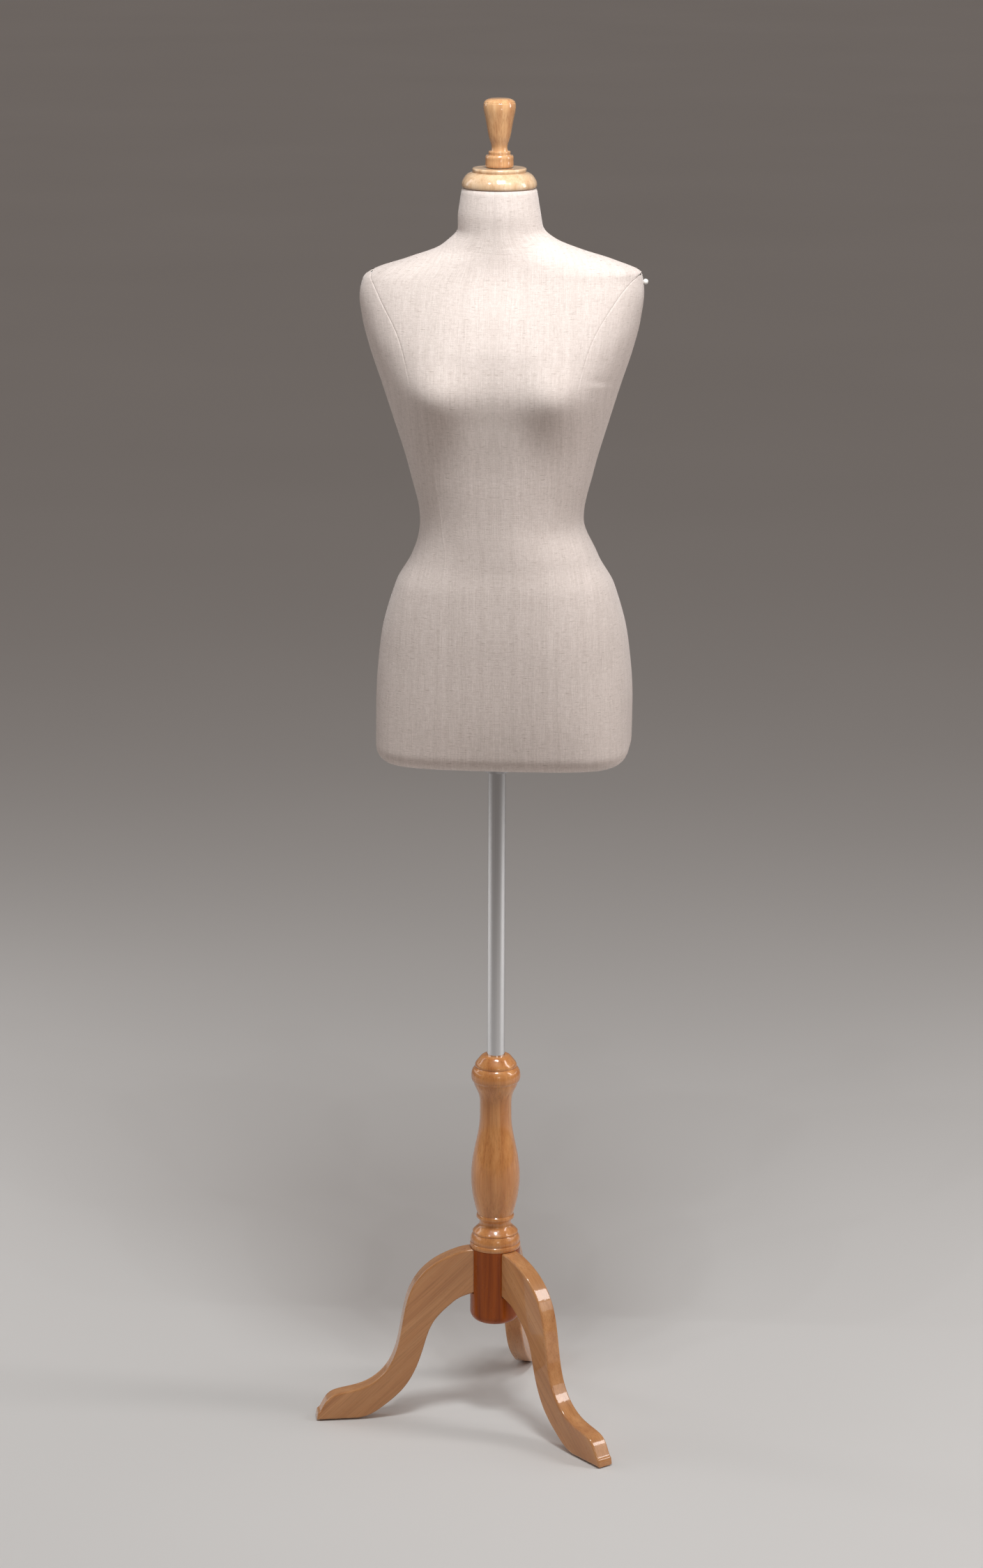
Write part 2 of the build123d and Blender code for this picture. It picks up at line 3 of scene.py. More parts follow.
import bpy
from mathutils import Euler, Matrix, Vector, noise


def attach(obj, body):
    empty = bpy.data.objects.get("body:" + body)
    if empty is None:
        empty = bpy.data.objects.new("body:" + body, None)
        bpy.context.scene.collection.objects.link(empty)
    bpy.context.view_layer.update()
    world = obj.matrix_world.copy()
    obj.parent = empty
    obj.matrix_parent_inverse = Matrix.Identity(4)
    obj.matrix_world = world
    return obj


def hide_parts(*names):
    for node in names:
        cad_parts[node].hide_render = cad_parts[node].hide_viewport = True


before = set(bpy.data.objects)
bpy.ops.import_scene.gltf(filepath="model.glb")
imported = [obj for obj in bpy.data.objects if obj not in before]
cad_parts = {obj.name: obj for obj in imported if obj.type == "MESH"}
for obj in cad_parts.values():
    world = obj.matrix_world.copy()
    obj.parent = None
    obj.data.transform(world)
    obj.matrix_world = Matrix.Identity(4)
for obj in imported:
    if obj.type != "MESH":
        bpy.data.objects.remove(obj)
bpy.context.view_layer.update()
MM = 0.001

# Camera: where it stands from the pole's axis, and how it looks down
CAMERA_AZIMUTH = 5.0
CAMERA_DISTANCE = 5.597
CAMERA_HEIGHT = 2.298
CAMERA_LEFT = 0.0073
CAMERA_PITCH = 14.09
CAMERA_ROLL = 0.21
CAMERA_LENS = 99.4
SENSOR = 36.0

# Studio: lights by name, each with its place, target, size, power in watts and colour
LIGHTS = {
    "key": ((0.16, -0.70, 2.68), (0, 0, 1.4), (0.40, 0.40), 22.5, (0.95, 0.99, 1.0)),
    "right": ((2.6, -0.1, 2.3), (0, 0, 1.2), (0.5, 1.6), 26, (1.0, 0.97, 0.96)),
    "left": ((-2.4, 0.9, 2.4), (0, 0, 1.2), (0.5, 1.6), 7, (1.0, 0.97, 0.96)),
    "low": ((0.8, -2.2, 1.25), (0, 0, 0.2), (0.4, 0.4), 3, (1.0, 0.93, 0.87)),
    "floor_-1": ((-2.4, 0.5, 1.1), (-2.4, 0.5, 0), (1.4, 2.6), 18, (1, 1, 1)),
    "floor_1": ((2.4, 0.5, 1.1), (2.4, 0.5, 0), (1.4, 2.6), 18, (1, 1, 1)),
}
# Small lamps in a row over the front, which the varnish shows as dots
LAMPS = 7
LAMP_SPACING = 0.32
LAMP_PLACE = (-1.05, 2.9)
LAMP_TARGET = (0, 0, 1.0)
LAMP_SIZE = (0.02, 0.02)
LAMP_POWER = 1.7
LAMP_COLOUR = (0.97, 0.99, 1.0)
WORLD_COLOUR = (0.80, 0.70, 0.645, 1)
WORLD_STRENGTH = 0.26
FLOOR_REACH = 60.0

# Torso sections in millimetres, as in the CAD model:
# height, half width, depth in front of and behind the pole's axis, squareness
HEM = 929.0
HEM_EDGE = 22.0
NECK_TOP = 1684.0
MIDDLE = 1306.5
HALF_TALL = 377.5
TORSO = (
    (929, 167.5, 93, 112, 4.2),
    (1012, 168.7, 98, 123, 3.1),
    (1088, 163.0, 97, 117, 2.6),
    (1163, 143.6, 92, 94, 2.4),
    (1201, 122.5, 88, 83, 2.3),
    (1250, 107.0, 87, 78, 2.2),
    (1312, 119.8, 92, 84, 2.2),
    (1386, 142.0, 104, 94, 2.2),
    (1432, 156.6, 112, 100, 2.2),
    (1477, 171.8, 104, 104, 2.2),
    (1514, 181.2, 88, 104, 2.2),
    (1550, 185.6, 69, 99, 2.2),
    (1575, 182.5, 58, 91, 2.1),
    (1590, 151.0, 54, 84, 2.1),
    (1604, 107.0, 52, 77, 2.0),
    (1618, 73.0, 50.5, 68, 2.0),
    (1633, 57.0, 50, 59, 2.0),
    (1654, 53.0, 51, 53, 2.0),
    (1684, 48.5, 48.5, 48.5, 2.0),
)
# Depth of the widest line behind the pole's axis, which is also where the side seams run
WIDEST = ((929, 25.0), (1560, 25.0), (1618, 9.0), (1640, 0.0), (1684, 0.0))
# Distance by which the middle of the torso stands to the left of the pole's axis: the form leans a little
LEAN = ((929, 8.0), (1150, 7.4), (1205, 7.4), (1250, 3.2), (1320, 2.8), (1480, 1.4), (1600, 0.3), (1684, 0.0))
# How much narrower the right shoulder is, because it slopes down more than the left
RIGHT_SLOPE = (
    (929, 0.0),
    (1530, 0.0),
    (1566, 5.0),
    (1580, 22.0),
    (1590, 28.0),
    (1604, 22.0),
    (1618, 8.0),
    (1660, 0.0),
    (1684, 0.0),
)
# Each bust is a rounded bump on the front
BUST_HEIGHT = 1424.0
BUST_SPREAD = 84.0
BUST_DEPTH = 24.0
BUST_WIDTH = 40.0
BUST_TALL = 46.0
# Distance of the long seams from the centre line by height, until they reach the side at the shoulder's tip
LONG_SEAM = (
    (900, 85.0),
    (1012, 80.0),
    (1155, 73.5),
    (1222, 69.6),
    (1310, 78.0),
    (1410, 101.0),
    (1490, 122.0),
    (1540, 150.0),
    (1570, 175.0),
    (1582, 200.0),
)
SHOULDER_TIP = 1573.0
NECK_FRONT = 1604.0
NECK_SIDE = 1632.0
NECK_BACK = 1645.0
# Above this height the centre panels' rows bend to follow the neck's seam
BEND_START = 1560.0

# Cloth and its mesh
CLOTH = 1.1
CUT_EDGE = 50.0
ROW_STEP = 4.0
COLUMN_STEP = 5.0
EDGE_STEPS = (0.0, 0.6, 1.2, 2.0, 3.2)
# Depth of the front long seams' groove by height. Where it is negative, the seam stands up as a ridge
SEAM_DEPTHS = (
    (900, -0.10),
    (1150, -0.12),
    (1210, -0.25),
    (1290, -0.35),
    (1350, -0.15),
    (1410, 0.10),
    (1480, 0.36),
    (1560, 0.40),
    (1684, 0.30),
)
SEAM_WIDTH = 1.0
CENTRE_DEPTH = 0.02
NECK_DEPTH = 0.05
SIDE_DEPTH = 0.3
# Height of the ridge beside a seam as a share of the groove's depth, its distance and its width
ALLOWANCE = (0.18, 3.4, 1.8)
# Panels narrower than this have a shallower groove
NARROW = 30.0
# The cloth may stand this far out from the torso's surface
STANDS_OUT = 1.5
LUMP = 0.5
LUMP_SIZE = 70.0
# The fold at the left bust: its middle, distance to the left and height
CREASE = (133.0, 1441.0)
CREASE_LENGTH = 14.0
CREASE_WIDTH = 4.5
CREASE_FALL = 0.31
CREASE_RISE = 1.0
# The neck band ends under the cap, where its edge turns in, and has its closing seam at the back
BAND_TOP = 1685.2
BAND_FADE = 35.0
BAND_TURN_IN = 1.6
BAND_TURN_TALL = 3.7
BAND_SEAM = 0.7
BAND_SEAM_TURN = 0.03
BAND_RADIUS = 52.0
# The underside is gathered to the socket in tucks
SOCKET_HOLE = 17.5
UNDERSIDE_RISE = 0.55
TUCKS = 24
TUCK = 0.3
UNDERSIDE_EDGE = 0.6
# Layers under the linen: piece, node that it replaces, outer and inner inset
LAYERS = (("wadding", "wadding_layer", 1.6, 4.2), ("shell", "body_shell", 4.2, 8.2))
LAYER_TOP = 1654.0


# ---------- Torso shape ----------


def smooth(table, height, column):
    """A column's value at a height, on a monotone cubic through the table's rows."""
    heights = [row[0] for row in table]
    values = [row[column] for row in table]
    slopes = [
        (values[i + 1] - values[i]) / (heights[i + 1] - heights[i])
        for i in range(len(table) - 1)
    ]
    tangents = [slopes[0]]
    for before, after in zip(slopes, slopes[1:]):
        product = before * after
        tangents.append(2 * product / (before + after) if product > 0 else 0.0)
    tangents.append(slopes[-1])
    place = max(heights[0], min(heights[-1], height))
    i = max(k for k in range(len(table) - 1) if heights[k] <= place)
    span = heights[i + 1] - heights[i]
    t = (place - heights[i]) / span
    return (
        (2 * t**3 - 3 * t**2 + 1) * values[i]
        + (t**3 - 2 * t**2 + t) * span * tangents[i]
        + (3 * t**2 - 2 * t**3) * values[i + 1]
        + (t**3 - t**2) * span * tangents[i + 1]
    )


def hem_rounding(height):
    up = height - HEM
    if up >= HEM_EDGE:
        return 0.0
    return HEM_EDGE - math.sqrt(HEM_EDGE**2 - (HEM_EDGE - max(up, 0.0)) ** 2)


def bust(x, height):
    across = (abs(x) - BUST_SPREAD) / BUST_WIDTH
    up = (height - BUST_HEIGHT) / BUST_TALL
    return BUST_DEPTH * math.exp(-(across**2) - up**2)


class Section:
    """One horizontal section of the torso. Places on it are lengths from the centre line round the side."""

    FINE = 160

    def __init__(self, height, front):
        self.height, self.front = height, front
        self.half_width = smooth(TORSO, height, 1)
        self.widest = smooth(WIDEST, height, 1)
        reach = smooth(TORSO, height, 2) + self.widest if front else smooth(TORSO, height, 3) - self.widest
        self.reach = reach
        self.power = 2 / smooth(TORSO, height, 4)
        self.drawn_in = hem_rounding(height)
        self.lean = smooth(LEAN, height, 1)
        self.right_share = 1 - smooth(RIGHT_SLOPE, height, 1) / self.half_width
        # Even steps of turn crowd the corners of a square section, so lengths are measured on fine steps
        self.turns = [math.pi / 2 * (1 - i / self.FINE) for i in range(self.FINE + 1)]
        points = [self.at(turn, 0.0) for turn in self.turns]
        self.xs = [p.x - self.lean for p in points]
        self.lengths = [0.0]
        for a, b in zip(points, points[1:]):
            self.lengths.append(self.lengths[-1] + (b - a).length)

    def at(self, turn, inset, right=False):
        """The surface's point at a turn from the side, moved in by inset, on the left or on the right."""
        drawn_in = inset + self.drawn_in
        cosine, sine = max(math.cos(turn), 0.0), max(math.sin(turn), 0.0)
        x = (self.half_width - drawn_in) * cosine**self.power
        depth = (self.reach - drawn_in) * sine**self.power
        z = MIDDLE + (self.height - MIDDLE) * (1 - inset / HALF_TALL)
        y = self.widest - depth - bust(x, self.height) * sine if self.front else self.widest + depth
        if right:
            x *= -self.right_share
        return Vector((x + self.lean, y, z))

    def turn_of(self, length):
        length = max(0.0, min(self.lengths[-1], length))
        return interpolate(self.lengths, self.turns, length)

    def seam(self):
        """The length at which the long seam crosses the section."""
        x = min(smooth(LONG_SEAM, self.height, 1), self.half_width) - self.drawn_in
        return interpolate(self.xs, self.lengths, max(x, 0.0))


def interpolate(keys, values, key):
    low, high = 0, len(keys) - 1
    while high - low > 1:
        middle = (low + high) // 2
        if keys[middle] <= key:
            low = middle
        else:
            high = middle
    span = keys[high] - keys[low]
    share = 0.0 if span <= 0 else max(0.0, min(1.0, (key - keys[low]) / span))
    return values[low] + (values[high] - values[low]) * share


def steps_between(start, end, step):
    count = max(1, round((end - start) / step))
    return [start + (end - start) * i / count for i in range(count + 1)]


def columns_between(width):
    """Distances across a panel, close together at its two seams."""
    edge = [e for e in EDGE_STEPS if e < width / 2]
    middle = steps_between(edge[-1], width - edge[-1], COLUMN_STEP)
    return edge[:-1] + middle + [width - e for e in reversed(edge[:-1])]


def seam_groove(distance, depth):
    """How far the cloth dips at a seam, with the small ridge that the seam allowance lifts beside it."""
    share, away, width = ALLOWANCE
    dip = depth * math.exp(-((distance / SEAM_WIDTH) ** 2))
    return dip - share * depth * math.exp(-(((distance - away) / width) ** 2))


def lumps(point):
    """Slight unevenness of the wadding under the cloth."""
    return LUMP * noise.noise(point / LUMP_SIZE)


def crease(point):
    """Height of the short fold at the outer edge of the left bust: a dip with a lip under it."""
    along = (point.x - CREASE[0]) / CREASE_LENGTH
    across = (point.z - CREASE[1] + CREASE_FALL * (point.x - CREASE[0])) / CREASE_WIDTH
    return -2 * CREASE_RISE * across * math.exp(-(along**2) - across**2) if point.y < 0 else 0.0


# ---------- Mesh helpers ----------


def mesh_object(name, grid, weave, wrap=False, mirrored=False, closed=False):
    """A mesh from rows of points in millimetres, with the cloth's own coordinates kept for its weave."""
    count = len(grid[0])
    points = [p * MM for row in grid for p in row]
    faces = []
    for r in range(len(grid) if closed else len(grid) - 1):
        above = (r + 1) % len(grid)
        for c in range(count if wrap else count - 1):
            after = (c + 1) % count
            face = (r * count + c, r * count + after, above * count + after, above * count + c)
            faces.append(tuple(reversed(face)) if mirrored else face)
    mesh = bpy.data.meshes.new(name)
    mesh.from_pydata(points, [], faces)
    attribute = mesh.attributes.new("weave", "FLOAT_VECTOR", "POINT")
    for i, place in enumerate(p for row in weave for p in row):
        attribute.data[i].vector = place
    mesh.shade_smooth()
    thing = bpy.data.objects.new(name, mesh)
    bpy.context.scene.collection.objects.link(thing)
    return thing


def thicken(thing, thickness):
    """Gives a sheet its thickness, with crisp cut edges so that the shading doesn't bend at them."""
    solid = thing.modifiers.new("thickness", "SOLIDIFY")
    solid.thickness = thickness
    solid.offset = -1.0
    solid.use_even_offset = False
    bpy.context.view_layer.update()
    graph = bpy.context.evaluated_depsgraph_get()
    thick = bpy.data.meshes.new_from_object(thing.evaluated_get(graph))
    thing.modifiers.clear()
    thing.data = thick
    thick.set_sharp_from_angle(angle=math.radians(CUT_EDGE))


# ---------- Linen cover ----------


def neck_height(turn, front):
    """The neck seam's height: low at the front, higher at the sides and at the back."""
    share = math.sin(turn)
    if front:
        return NECK_SIDE - (NECK_SIDE - NECK_FRONT) * share
    return NECK_SIDE + (NECK_BACK - NECK_SIDE) * share


def cover_heights(top):
    rounding = [HEM + HEM_EDGE * (1 - math.cos(math.radians(a))) for a in range(0, 90, 10)]
    return rounding + steps_between(HEM + HEM_EDGE, top, ROW_STEP)


def panel_grid(front, centre, right):
    """Points and weave places of one panel."""
    top = NECK_SIDE if centre else SHOULDER_TIP
    widest = Section(1060 if centre else 1100, front)
    nominal = widest.seam() if centre else widest.lengths[-1] - widest.seam()
    shares = [c / nominal for c in columns_between(nominal)]
    grid, weave = [], []
    for level in cover_heights(top):
        row, places = [], []
        for share in shares:
            height = level
            if centre and level > BEND_START:
                turn = math.pi / 2 * (1 - share)
                stretch = (level - BEND_START) / (top - BEND_START)
                height = BEND_START + stretch * (neck_height(turn, front) - BEND_START)
            section = section_at(height, front)
            seam = section.seam()
            start, end = (0.0, seam) if centre else (seam, section.lengths[-1])
            length = start + (end - start) * share
            edge_near = length - start
            edge_far = end - length
            long_depth = smooth(SEAM_DEPTHS, height, 1) if front else SIDE_DEPTH
            depths = (CENTRE_DEPTH, long_depth) if centre else (long_depth, SIDE_DEPTH)
            inset = seam_groove(edge_near, depths[0]) + seam_groove(edge_far, depths[1])
            inset *= min(1.0, (end - start) / NARROW)
            if centre:
                top_height = neck_height(section.turn_of(length), front)
                inset += seam_groove(max(top_height - height, 0.0), NECK_DEPTH)
            point = section.at(section.turn_of(length), 0.0, right)
            inset += lumps(point) - LUMP - crease(point)
            row.append(section.at(section.turn_of(length), max(inset, -STANDS_OUT), right))
            places.append((length * MM, height * MM, 0.0))
        grid.append(row)
        weave.append(places)
    return grid, weave


_sections = {}


def section_at(height, front):
    key = (round(height, 2), front)
    if key not in _sections:
        _sections[key] = Section(key[0], front)
    return _sections[key]


def linen_panels():
    pieces = []
    for face, front in (("front", True), ("back", False)):
        for place, centre in (("centre", True), ("side", False)):
            for hand, right in (("left", False), ("right", True)):
                grid, weave = panel_grid(front, centre, right)
                name = f"cloth_{face}_{place}_{hand}"
                piece = mesh_object(name, grid, weave, mirrored=front == right)
                pieces.append((piece, f"linen_{face}_{place}_{hand}"))
    return pieces


def round_turns(count):
    """Goes once round the torso from its front: angle, turn on a section, and whether front and right."""
    for c in range(count):
        angle = 2 * math.pi * c / count - math.pi / 2
        turn = math.atan2(abs(math.sin(angle)), abs(math.cos(angle)))
        yield angle, turn, math.sin(angle) < 0, math.cos(angle) < 0


def neck_band():
    """The linen round the neck, from its seam to the edge turned in under the cap."""
    count, rows = 120, 24
    grid, weave = [], []
    for r in range(rows + 1):
        row, places = [], []
        for angle, turn, front, right in round_turns(count):
            low = neck_height(turn, front)
            height = low + (BAND_TOP - low) * r / rows
            section = section_at(min(height, NECK_TOP), front)
            turned_in = max(0.0, 1 - (BAND_TOP - height) / BAND_TURN_TALL)
            inset = seam_groove(height - low, NECK_DEPTH)
            inset += BAND_TURN_IN * turned_in**2
            inset += BAND_SEAM * max(0.0, 1 - abs(angle - math.pi / 2) / BAND_SEAM_TURN)
            fade = min(1.0, (BAND_TOP - height) / BAND_FADE)
            inset += (lumps(section.at(turn, 0.0, right)) - LUMP) * fade
            point = section.at(turn, inset, right)
            point.z = height
            row.append(point)
            places.append((angle * BAND_RADIUS * MM, height * MM, 0.0))
        grid.append(row)
        weave.append(places)
    return mesh_object("cloth_neck_band", grid, weave, wrap=True)


def underside():
    """The linen under the hem, drawn in to the socket in small tucks."""
    count, rows = 120, 14
    edge = []
    for angle, turn, front, right in round_turns(count):
        edge.append((angle, section_at(HEM, front).at(turn, -UNDERSIDE_EDGE, right)))
    grid, weave = [], []
    for r in range(rows + 1):
        share = r / rows
        row, places = [], []
        for angle, outer in edge:
            inner = Vector((math.cos(angle), math.sin(angle), 0)) * SOCKET_HOLE
            flat = inner.lerp(Vector((outer.x, outer.y, 0)), share)
            tuck = TUCK * math.sin(TUCKS * angle) * share**2
            row.append(Vector((flat.x, flat.y, HEM + UNDERSIDE_RISE - tuck)))
            places.append((flat.x * MM, flat.y * MM, 0.0))
        grid.append(row)
        weave.append(places)
    return mesh_object("cloth_underside", grid, weave, wrap=True)


def layer(name, outer, inner):
    """A closed smooth layer round the whole torso between two insets."""
    count, heights = 144, steps_between(HEM + HEM_EDGE, LAYER_TOP, 8.0)
    rings = []
    for inset, levels in ((outer, heights), (inner, list(reversed(heights)))):
        for height in levels:
            rings.append(
                [
                    section_at(height, front).at(turn, inset, right)
                    for _, turn, front, right in round_turns(count)
                ]
            )
    places = [[tuple(p * MM) for p in row] for row in rings]
    return mesh_object(name, rings, places, wrap=True, closed=True)


# ---------- Materials ----------


def nodes_of(name):
    material = bpy.data.materials.new(name)
    material.use_nodes = True
    tree = material.node_tree
    shader = tree.nodes["Principled BSDF"]
    return material, tree, shader


def add(tree, kind, **settings):
    node = tree.nodes.new(kind)
    for key, value in settings.items():
        if key.startswith("in_"):
            name = key[3:].replace("_", " ")
            node.inputs[int(name) if name.isdigit() else name].default_value = value
        else:
            setattr(node, key, value)
    return node


def link(tree, source, target, out=0, into=0):
    tree.links.new(source.outputs[out], target.inputs[into])


def scaled(tree, source, scale, rotation=(0, 0, 0), out=0):
    mapping = add(tree, "ShaderNodeMapping")
    mapping.inputs["Scale"].default_value = scale
    mapping.inputs["Rotation"].default_value = rotation
    link(tree, source, mapping, out)
    return mapping


def noise_on(tree, source, scale, detail=3.0, rough=0.55, distortion=0.0):
    texture = add(tree, "ShaderNodeTexNoise", in_Scale=scale, in_Detail=detail, in_Roughness=rough)
    texture.inputs["Distortion"].default_value = distortion
    link(tree, source, texture)
    return texture


def ramp_on(tree, source, stops, out=0):
    ramp = add(tree, "ShaderNodeValToRGB")
    elements = ramp.color_ramp.elements
    while len(elements) < len(stops):
        elements.new(0.5)
    for element, (place, colour) in zip(elements, stops):
        element.position = place
        element.color = (*colour, 1.0)
    link(tree, source, ramp, out)
    return ramp


def mixed(tree, kind, factor, first, second):
    """Mixes two colours: factor is a number or a node."""
    mix = add(tree, "ShaderNodeMix", data_type="RGBA", blend_type=kind)
    if isinstance(factor, (int, float)):
        mix.inputs[0].default_value = factor
    else:
        link(tree, factor, mix, 0, 0)
    for place, value in ((6, first), (7, second)):
        if isinstance(value, tuple):
            mix.inputs[place].default_value = (*value, 1.0)
        else:
            link(tree, value, mix, 2 if value.type == "MIX" else 0, place)
    return mix


def mathed(tree, operation, first, second):
    node = add(tree, "ShaderNodeMath", operation=operation)
    for place, value in ((0, first), (1, second)):
        if isinstance(value, (int, float)):
            node.inputs[place].default_value = value
        else:
            link(tree, value, node, 0, place)
    return node


def bump_on(tree, shader, height, strength, distance):
    bump = add(tree, "ShaderNodeBump", in_Strength=strength, in_Distance=distance)
    link(tree, height, bump, 0, "Height")
    link(tree, bump, shader, 0, "Normal")


def linen():
    """Plain weave with slubs along both threads, in the cloth's own coordinates."""
    material, tree, shader = nodes_of("linen")
    place = add(tree, "ShaderNodeAttribute", attribute_name="weave")
    warp = noise_on(tree, scaled(tree, place, (760, 34, 1), out=1), 1.0, 3.0)
    weft = noise_on(tree, scaled(tree, place, (70, 900, 1), (0, 0, 0.01), out=1), 1.0, 3.0)
    fine = noise_on(tree, scaled(tree, place, (1300, 1300, 1), out=1), 1.0, 2.0, 0.7)
    slubs = noise_on(tree, scaled(tree, place, (95, 620, 1), (0, 0, -0.02), out=1), 1.0, 1.0)
    streaks = noise_on(tree, scaled(tree, place, (120, 3, 1), out=1), 1.0, 2.0)
    patches = noise_on(tree, scaled(tree, place, (330, 210, 1), out=1), 1.0, 3.0, 0.65)
    broad = noise_on(tree, scaled(tree, place, (9, 6, 1), out=1), 1.0, 3.0)
    warp_tone = ramp_on(tree, warp, [(0.30, LINEN_DARK), (0.52, LINEN), (0.74, LINEN_LIGHT)])
    weft_tone = ramp_on(tree, weft, [(0.28, LINEN_DARK), (0.52, LINEN), (0.76, LINEN_LIGHT)])
    cloth = mixed(tree, "MIX", 0.5, warp_tone, weft_tone)
    speckle = ramp_on(tree, fine, [(0.30, (0.82, 0.815, 0.81)), (0.70, (1.12, 1.12, 1.12))])
    cloth = mixed(tree, "MULTIPLY", 0.8, cloth, speckle)
    patch_tone = ramp_on(tree, patches, [(0.34, (0.90, 0.89, 0.88)), (0.62, (1.03, 1.03, 1.03))])
    cloth = mixed(tree, "MULTIPLY", 0.7, cloth, patch_tone)
    slub_tone = ramp_on(tree, slubs, [(0.24, (0.70, 0.67, 0.65)), (0.36, (1.0, 1.0, 1.0))])
    cloth = mixed(tree, "MULTIPLY", 0.8, cloth, slub_tone)
    streak_tone = ramp_on(tree, streaks, [(0.3, (0.95, 0.945, 0.94)), (0.7, (1.03, 1.03, 1.03))])
    cloth = mixed(tree, "MULTIPLY", 0.9, cloth, streak_tone)
    shade = ramp_on(tree, broad, [(0.3, (0.94, 0.935, 0.93)), (0.7, (1.03, 1.02, 1.02))])
    cloth = mixed(tree, "MULTIPLY", 0.8, cloth, shade)
    link(tree, cloth, shader, 2, "Base Color")
    height = mathed(tree, "ADD", mathed(tree, "ADD", warp, weft), mathed(tree, "MULTIPLY", fine, 0.7))
    bump_on(tree, shader, height, 0.45, 0.0005)
    shader.inputs["Roughness"].default_value = 0.92
    shader.inputs["Specular IOR Level"].default_value = 0.18
    shader.inputs["Sheen Weight"].default_value = 0.2
    shader.inputs["Sheen Roughness"].default_value = 0.5
    return material


def wood(name, dark, middle, light, turn=0.0, lean=0.0, gloss=0.07, coat=0.9, seed=0.0):
    """Varnished wood whose grain runs along Z, turned about Z and leaned over."""
    material, tree, shader = nodes_of(name)
    place = add(tree, "ShaderNodeTexCoord")
    turned = scaled(tree, place, (1, 1, 1), (0, 0, -turn), out=3)
    turned.inputs["Location"].default_value = (seed, seed * 0.7, seed * 0.3)
    leaned = scaled(tree, turned, (1, 1, 1), (0, -lean, 0))
    streaks = noise_on(tree, scaled(tree, leaned, (85, 85, 4)), 1.0, 5.0, 0.6, 0.3)
    fibres = noise_on(tree, scaled(tree, leaned, (620, 620, 12)), 1.0, 3.0, 0.6)
    bands = noise_on(tree, scaled(tree, leaned, (22, 22, 1.2)), 1.0, 2.0, 0.5, 0.8)
    tone = ramp_on(tree, streaks, [(0.28, dark), (0.5, middle), (0.72, light)])
    band_tone = ramp_on(tree, bands, [(0.3, (0.80, 0.76, 0.72)), (0.7, (1.1, 1.08, 1.06))])
    colour = mixed(tree, "MULTIPLY", 0.75, tone, band_tone)
    fibre_tone = ramp_on(tree, fibres, [(0.34, (0.70, 0.64, 0.58)), (0.52, (1.0, 1.0, 1.0))])
    colour = mixed(tree, "MULTIPLY", 0.55, colour, fibre_tone)
    link(tree, colour, shader, 2, "Base Color")
    polish = noise_on(tree, scaled(tree, leaned, (90, 90, 60)), 1.0, 3.0)
    roughness = add(tree, "ShaderNodeMapRange")
    roughness.inputs["To Min"].default_value = gloss + 0.12
    roughness.inputs["To Max"].default_value = gloss + 0.34
    link(tree, polish, roughness)
    link(tree, roughness, shader, 0, "Roughness")
    height = mathed(tree, "ADD", fibres, mathed(tree, "MULTIPLY", polish, 0.6))
    bump_on(tree, shader, height, 0.16, 0.0005)
    shader.inputs["Specular IOR Level"].default_value = 0.2
    shader.inputs["Coat Weight"].default_value = coat
    shader.inputs["Coat Roughness"].default_value = gloss * 0.5
    shader.inputs["Coat IOR"].default_value = 1.5
    return material


def metal(name, colour, rough, spread=0.05, stretch=(300, 300, 300)):
    material, tree, shader = nodes_of(name)
    place = add(tree, "ShaderNodeTexCoord")
    marks = noise_on(tree, scaled(tree, place, stretch, out=3), 1.0, 4.0, 0.6)
    roughness = add(tree, "ShaderNodeMapRange")
    roughness.inputs["To Min"].default_value = max(rough - spread, 0.02)
    roughness.inputs["To Max"].default_value = rough + spread
    link(tree, marks, roughness)
    link(tree, roughness, shader, 0, "Roughness")
    tone = ramp_on(tree, marks, [(0.3, tuple(c * 0.93 for c in colour)), (0.7, colour)])
    link(tree, tone, shader, 0, "Base Color")
    bump_on(tree, shader, marks, 0.03, 0.0003)
    shader.inputs["Metallic"].default_value = 1.0
    return material


def plastic(name, colour, rough, grain=900.0, strength=0.12):
    material, tree, shader = nodes_of(name)
    place = add(tree, "ShaderNodeTexCoord")
    skin = noise_on(tree, scaled(tree, place, (grain,) * 3, out=3), 1.0, 3.0)
    tone = ramp_on(tree, skin, [(0.3, tuple(c * 0.88 for c in colour)), (0.7, colour)])
    link(tree, tone, shader, 0, "Base Color")
    bump_on(tree, shader, skin, strength, 0.0004)
    shader.inputs["Roughness"].default_value = rough
    return material


def felt(name, colour):
    material, tree, shader = nodes_of(name)
    place = add(tree, "ShaderNodeTexCoord")
    hairs = noise_on(tree, scaled(tree, place, (1400, 1400, 1400), out=3), 1.0, 4.0, 0.8, 2.0)
    dark = tuple(c * 0.6 for c in colour)
    light = tuple(min(c * 1.3, 1) for c in colour)
    tone = ramp_on(tree, hairs, [(0.3, dark), (0.7, light)])
    link(tree, tone, shader, 0, "Base Color")
    bump_on(tree, shader, hairs, 0.6, 0.0008)
    shader.inputs["Roughness"].default_value = 0.95
    return material


def floor_material():
    material, tree, shader = nodes_of("floor")
    place = add(tree, "ShaderNodeTexCoord")
    cloud = noise_on(tree, scaled(tree, place, (0.6, 0.6, 0.6), out=3), 1.0, 2.0)
    tone = ramp_on(tree, cloud, [(0.2, (0.66, 0.65, 0.64)), (0.8, (0.70, 0.69, 0.68))])
    link(tree, tone, shader, 0, "Base Color")
    shader.inputs["Roughness"].default_value = 0.6
    return material


